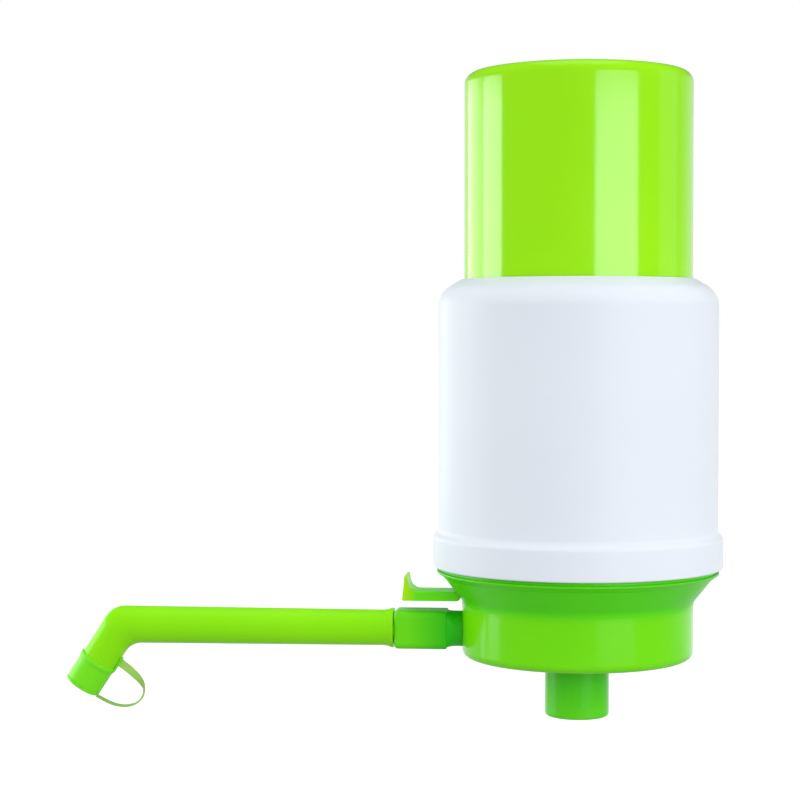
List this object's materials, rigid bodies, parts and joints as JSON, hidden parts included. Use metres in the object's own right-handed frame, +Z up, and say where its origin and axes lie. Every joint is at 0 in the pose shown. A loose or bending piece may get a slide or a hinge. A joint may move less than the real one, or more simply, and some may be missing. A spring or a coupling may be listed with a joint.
{
  "type": "water jug hand pump",
  "caption": "Bellows hand pump that clamps on a large water jug's neck: press cap on top, side spout with swivel and lid, and an air release lever.",
  "frame": {"origin": "on the pump's axis at the underside of the neck gasket, where the jug's mouth seats", "axes": "+Z up the pump's axis to the press head, -X along the spout, +Y completes the right-handed frame"},
  "size_m": [0.2165, 0.094, 0.2086],
  "materials": {
    "green_gloss": "smooth semi-gloss moulding",
    "green_base": "smooth semi-gloss moulding",
    "white_gloss": "smooth semi-gloss moulding",
    "white_inner": "plain moulding",
    "soft_green": "soft flexible plastic",
    "pale_strap": "soft flexible plastic, pale and slightly clear",
    "black_rubber": "matt rubber",
    "grey_rubber": "matt silicone rubber",
    "steel": "bright steel"
  },
  "bodies": {
    "base": {"pump_base": "green_base", "outer_sleeve": "white_gloss", "head_stop_ring": "black_rubber", "water_manifold": "green_base", "manifold_seal_ring": "black_rubber", "manifold_screws": "steel", "neck_gasket": "grey_rubber", "neck_clamp_ring": "white_inner", "spout_socket": "green_base", "socket_seal_ring": "black_rubber", "valve_plate": "white_inner", "valve_plate_gasket": "black_rubber", "valve_plate_screws": "steel", "bellows_clamp_ring": "white_inner", "bellows": "black_rubber", "delivery_valve_rivet": "white_inner", "lever_pivot_pin": "steel", "lever_spring": "steel"},
    "head": {"press_head": "green_gloss", "bellows_top_plate": "white_inner", "top_plate_screws": "steel", "intake_valve_rivet": "white_inner"},
    "lever": {"release_lever": "green_gloss", "vent_pad": "grey_rubber"},
    "spout": {"spout_tube": "green_gloss", "spout_seal_rings": "black_rubber", "closure_collar": "soft_green", "closure_strap": "pale_strap"},
    "lid": {"closure_lid": "soft_green"},
    "intake_valve": {"intake_valve_disc": "grey_rubber"},
    "delivery_valve": {"delivery_valve_disc": "grey_rubber"}
  },
  "joints": [
    {"name": "head_press", "type": "slide", "parent": "base", "child": "head", "axis": [0, 0, -1], "range_m": [0, 0.05], "stiffness_N_per_m": 300, "springref_m": -0.01, "deforming": ["bellows"]},
    {"name": "lever_press", "type": "hinge", "parent": "base", "child": "lever", "pos_m": [-0.0353, 0, 0.0134], "axis": [0, -1, 0], "range_deg": [0, 6], "stiffness_Nm_per_rad": 0.06, "springref_deg": -11.46, "deforming": ["lever_spring"]},
    {"name": "spout_swivel", "type": "hinge", "parent": "base", "child": "spout", "pos_m": [-0.05, 0, -0.0015], "axis": [1, 0, 0], "continuous": true},
    {"name": "lid_swing", "type": "hinge", "parent": "spout", "child": "lid", "pos_m": [-0.14894, 0, -0.03229], "axis": [0, -1, 0], "range_deg": [0, 90], "deforming": ["closure_strap"]},
    {"name": "intake_valve_lift", "type": "slide", "parent": "head", "child": "intake_valve", "axis": [0, 0, -1], "range_m": [0, 0.001], "stiffness_N_per_m": 50, "springref_m": -0.0005},
    {"name": "delivery_valve_lift", "type": "slide", "parent": "base", "child": "delivery_valve", "axis": [0, 0, -1], "range_m": [0, 0.001], "stiffness_N_per_m": 50, "springref_m": -0.0005}
  ]
}
